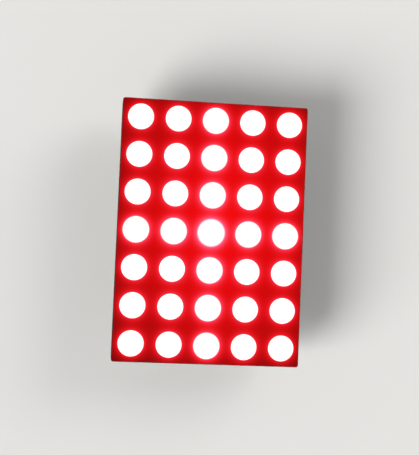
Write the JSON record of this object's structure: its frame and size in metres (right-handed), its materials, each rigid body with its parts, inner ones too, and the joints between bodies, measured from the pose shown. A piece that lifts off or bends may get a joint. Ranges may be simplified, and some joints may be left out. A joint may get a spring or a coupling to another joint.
{
  "type": "led dot matrix display",
  "caption": "Flat rectangular display module with a grid of round lit dots in its face and two rows of pins under it for soldering to a board.",
  "frame": {"origin": "centre of the pin field, in the seating plane that the stand-off feet rest on", "axes": "+Z out of the lit face, away from the host board; +Y towards the first row of dots; +X towards the last column of dots"},
  "size_m": [0.038, 0.0532, 0.0144],
  "materials": {
    "housing_plastic": "matt",
    "dot_resin": "satin",
    "board_laminate": "satin",
    "copper": "satin",
    "die": "gloss",
    "silver_adhesive": "matt",
    "gold": "gloss",
    "solder": "satin",
    "tinned_pin": "satin",
    "potting_resin": "satin"
  },
  "bodies": {
    "root": {"housing": "housing_plastic", "circuit_board": "board_laminate", "copper_front": "copper", "copper_back": "copper", "led_dice": "die", "die_attach": "silver_adhesive", "bond_wires": "gold", "pin_solder": "solder", "potting": "potting_resin", "dot_r1_c1": "dot_resin", "dot_r1_c2": "dot_resin", "dot_r1_c3": "dot_resin", "dot_r1_c4": "dot_resin", "dot_r1_c5": "dot_resin", "dot_r2_c1": "dot_resin", "dot_r2_c2": "dot_resin", "dot_r2_c3": "dot_resin", "dot_r2_c4": "dot_resin", "dot_r2_c5": "dot_resin", "dot_r3_c1": "dot_resin", "dot_r3_c2": "dot_resin", "dot_r3_c3": "dot_resin", "dot_r3_c4": "dot_resin", "dot_r3_c5": "dot_resin", "dot_r4_c1": "dot_resin", "dot_r4_c2": "dot_resin", "dot_r4_c3": "dot_resin", "dot_r4_c4": "dot_resin", "dot_r4_c5": "dot_resin", "dot_r5_c1": "dot_resin", "dot_r5_c2": "dot_resin", "dot_r5_c3": "dot_resin", "dot_r5_c4": "dot_resin", "dot_r5_c5": "dot_resin", "dot_r6_c1": "dot_resin", "dot_r6_c2": "dot_resin", "dot_r6_c3": "dot_resin", "dot_r6_c4": "dot_resin", "dot_r6_c5": "dot_resin", "dot_r7_c1": "dot_resin", "dot_r7_c2": "dot_resin", "dot_r7_c3": "dot_resin", "dot_r7_c4": "dot_resin", "dot_r7_c5": "dot_resin", "pin_1": "tinned_pin", "pin_2": "tinned_pin", "pin_3": "tinned_pin", "pin_4": "tinned_pin", "pin_5": "tinned_pin", "pin_6": "tinned_pin", "pin_7": "tinned_pin", "pin_8": "tinned_pin", "pin_9": "tinned_pin", "pin_10": "tinned_pin", "pin_11": "tinned_pin", "pin_12": "tinned_pin", "pin_13": "tinned_pin", "pin_14": "tinned_pin"}
  },
  "joints": []
}
